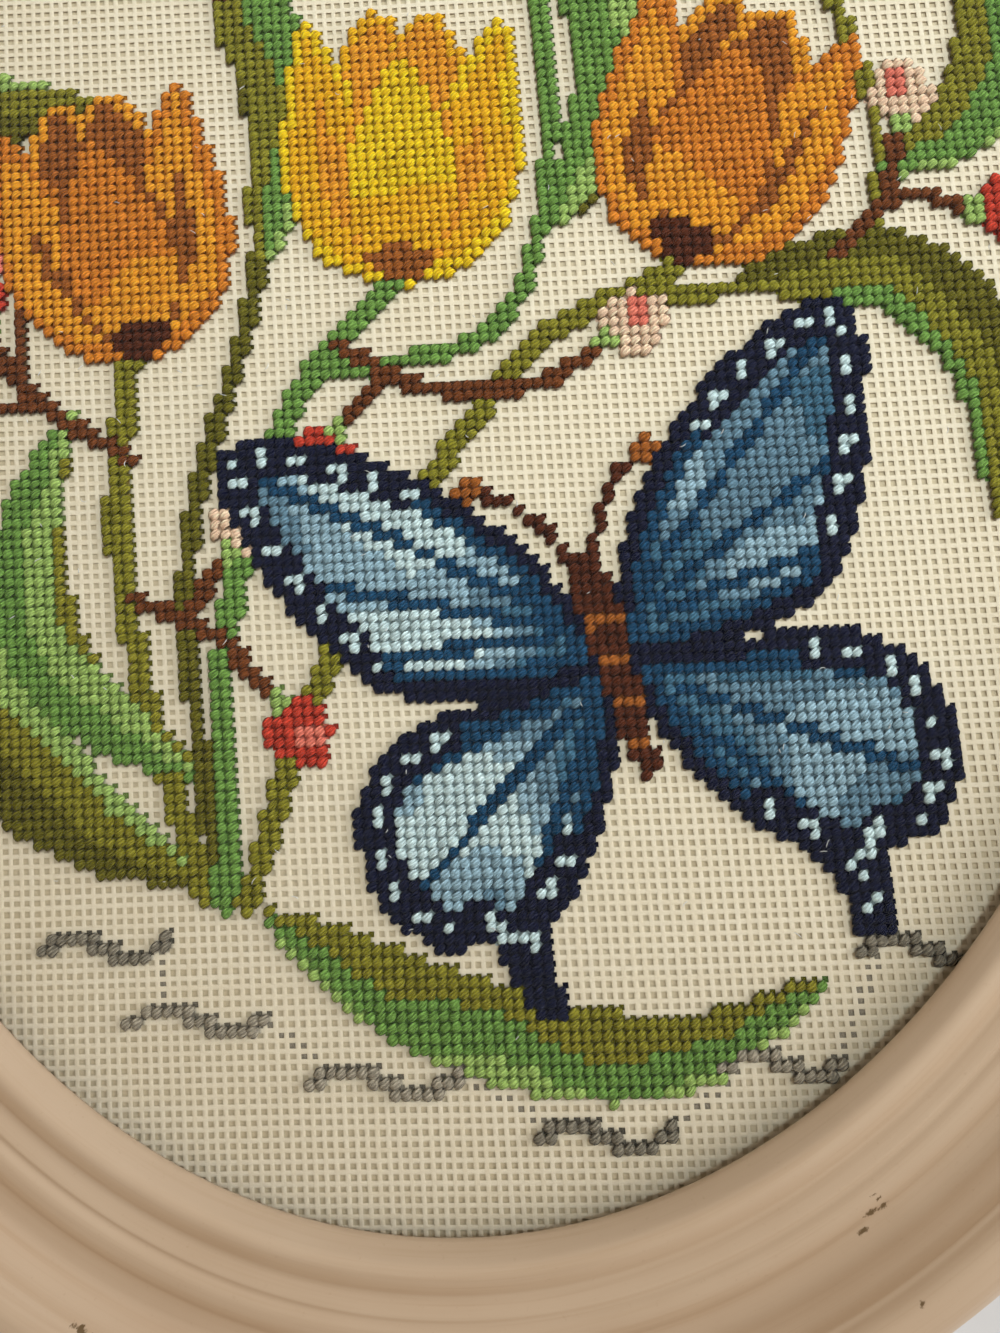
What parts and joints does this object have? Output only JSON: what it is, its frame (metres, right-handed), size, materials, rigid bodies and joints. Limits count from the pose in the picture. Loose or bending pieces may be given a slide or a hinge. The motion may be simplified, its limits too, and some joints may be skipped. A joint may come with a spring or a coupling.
{
  "type": "cross-stitch picture in an oval frame",
  "caption": "Oval needlework picture on open canvas, under glass in a wide painted moulding, lying on its back.",
  "frame": {"origin": "centre of the frame's flat back face, which is the lowest face as it lies", "axes": "+Z out of the picture's face, +Y towards the picture's top, +X towards the picture's right"},
  "size_m": [0.377, 0.4786, 0.0203],
  "materials": {
    "painted_wood": "satin paint, dusty pinkish beige",
    "clear_glass": "plain picture glass",
    "cotton_canvas": "cream mono canvas with wool tent stitch",
    "brown_board": "plain brown pressed board"
  },
  "bodies": {
    "root": {"oval_frame": "painted_wood", "glass_pane": "clear_glass", "canvas": "cotton_canvas", "backing_board": "brown_board"}
  },
  "joints": []
}
